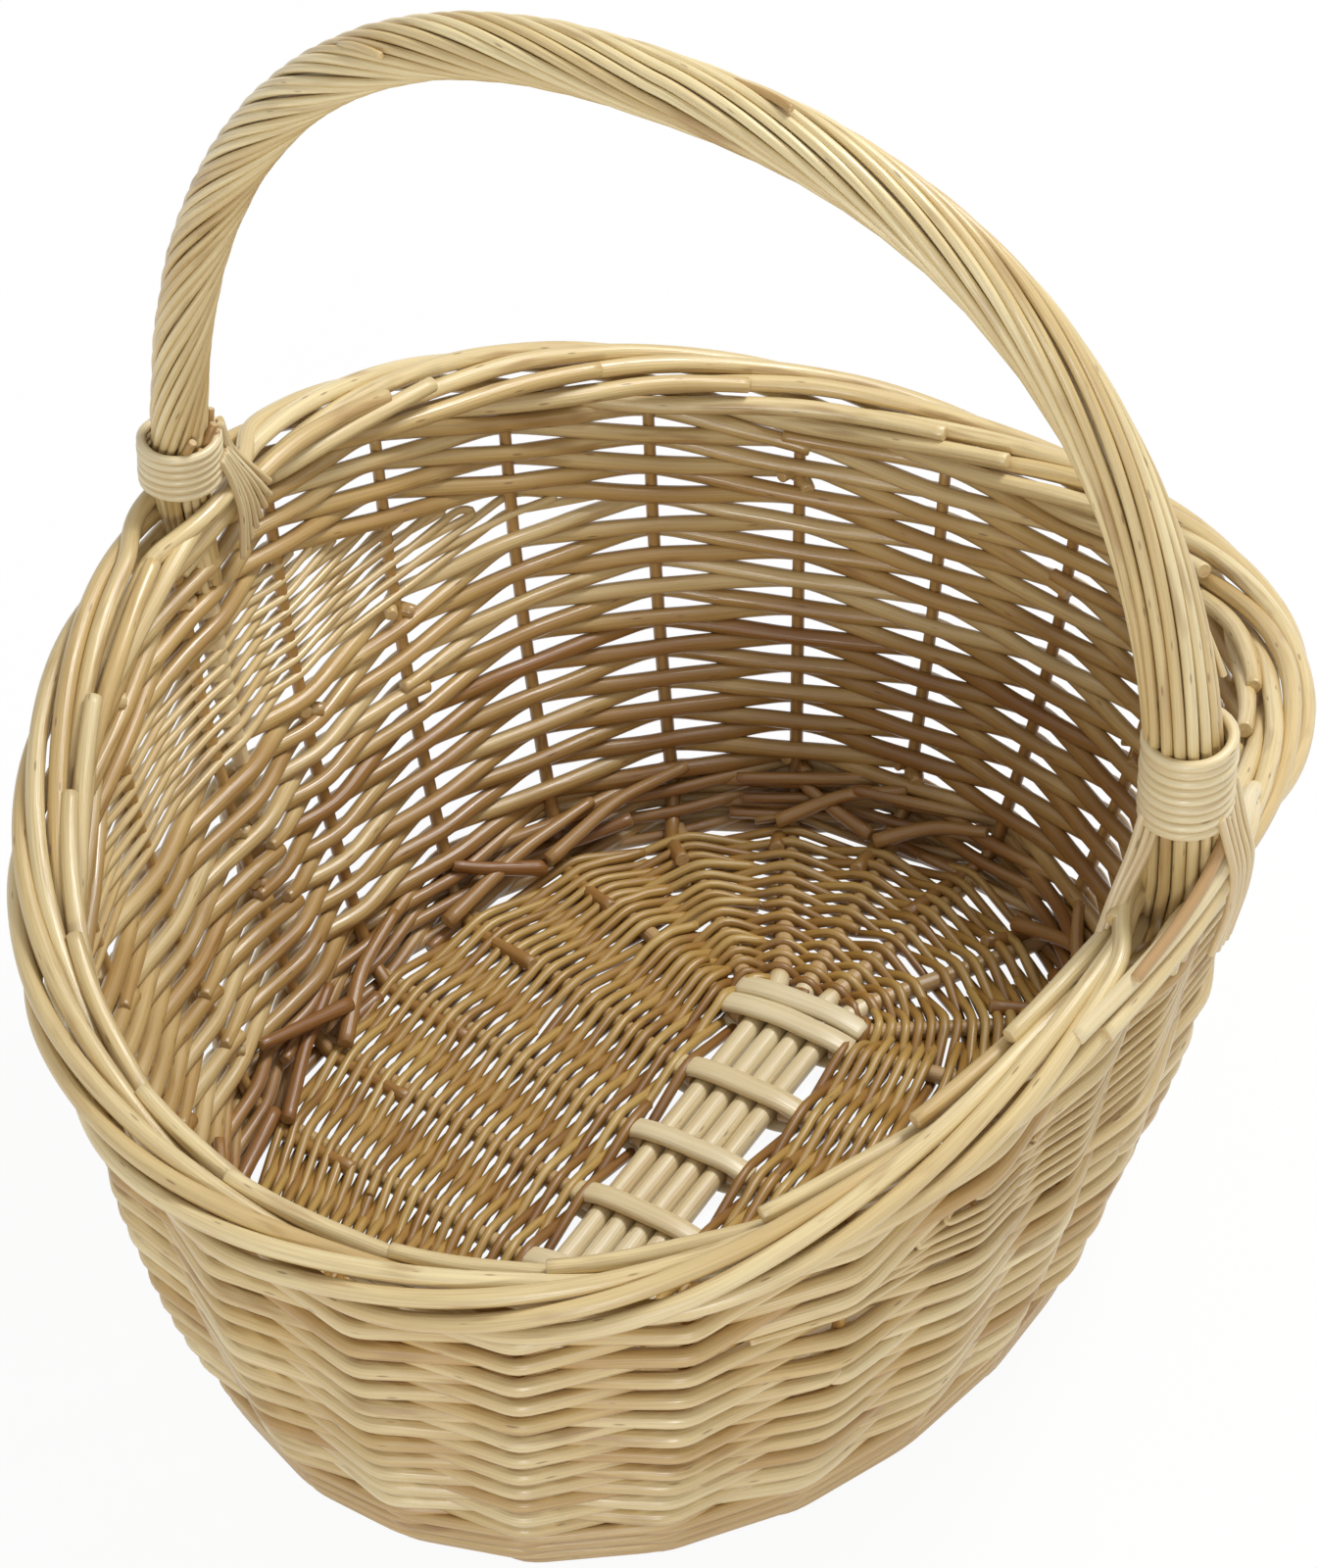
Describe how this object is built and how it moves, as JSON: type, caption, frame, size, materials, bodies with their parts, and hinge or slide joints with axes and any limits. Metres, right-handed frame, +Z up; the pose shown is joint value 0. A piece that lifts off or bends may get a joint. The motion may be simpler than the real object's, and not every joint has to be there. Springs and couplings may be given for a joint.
{
  "type": "willow shopping basket with bow handle",
  "caption": "Oval woven willow shopping basket with a swayed rope-like rod border and a roped bow handle bound on at both sides.",
  "frame": {"origin": "middle of the base's outline, on the surface the basket stands on", "axes": "+Z up, X along the oval, Y across it in the plane of the handle"},
  "size_m": [0.3984, 0.3454, 0.4038],
  "materials": {
    "straw_willow": "satin",
    "tan_willow": "satin",
    "pale_willow": "satin",
    "umber_willow": "satin"
  },
  "bodies": {
    "root": {"long_sticks": "pale_willow", "short_sticks": "pale_willow", "base_pairing_inner": "straw_willow", "base_pairing_outer": "straw_willow", "side_stakes": "tan_willow", "foot_wale": "umber_willow", "upsett_wale": "umber_willow", "packing_left": "straw_willow", "packing_right": "straw_willow", "border_rods": "straw_willow", "handle_bow": "pale_willow", "handle_roping": "straw_willow", "binding_left": "pale_willow", "binding_right": "pale_willow", "ties_left": "pale_willow", "ties_right": "pale_willow", "siding_row_1": "straw_willow", "siding_row_2": "straw_willow", "siding_row_3": "straw_willow", "siding_row_4": "straw_willow", "siding_row_5": "tan_willow", "siding_row_6": "straw_willow", "siding_row_7": "straw_willow", "siding_row_8": "straw_willow", "siding_row_9": "straw_willow", "siding_row_10": "tan_willow", "siding_row_11": "straw_willow", "siding_row_12": "straw_willow", "siding_row_13": "straw_willow", "siding_row_14": "straw_willow", "siding_row_15": "tan_willow", "siding_row_16": "straw_willow", "siding_row_17": "straw_willow", "siding_row_18": "straw_willow", "siding_row_19": "straw_willow", "siding_row_20": "tan_willow", "siding_row_21": "straw_willow", "siding_row_22": "straw_willow", "siding_row_23": "straw_willow", "siding_row_24": "straw_willow"}
  },
  "joints": []
}
